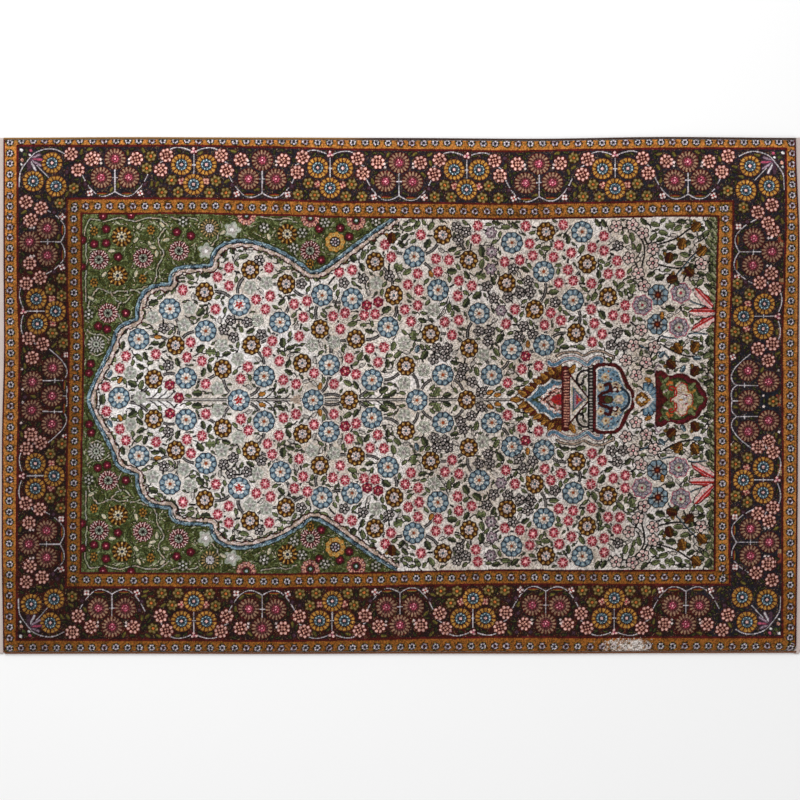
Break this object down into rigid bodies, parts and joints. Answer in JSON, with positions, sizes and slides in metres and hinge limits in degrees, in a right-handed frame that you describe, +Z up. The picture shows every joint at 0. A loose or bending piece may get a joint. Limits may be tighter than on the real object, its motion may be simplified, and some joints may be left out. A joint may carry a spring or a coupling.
{
  "type": "oriental prayer rug",
  "caption": "Hand-knotted oriental prayer rug with a flower-filled niche, a dark flower border and gold guard bands, lying flat, with overcast sides and fringed ends.",
  "frame": {"origin": "on the floor, under the middle of the rug's outline with its fringes", "axes": "+X along the length towards the foot of the niche, +Y across the width, +Z up out of the pile"},
  "size_m": [1.9645, 1.2, 0.0086],
  "materials": {
    "wool_pile": "matte",
    "side_wool": "matte",
    "warp_cotton": "matte"
  },
  "bodies": {
    "root": {"knotted_rug": "wool_pile", "side_cord_far": "side_wool", "side_cord_near": "side_wool", "fringed_end_left": "warp_cotton", "fringed_end_right": "warp_cotton"}
  },
  "joints": []
}
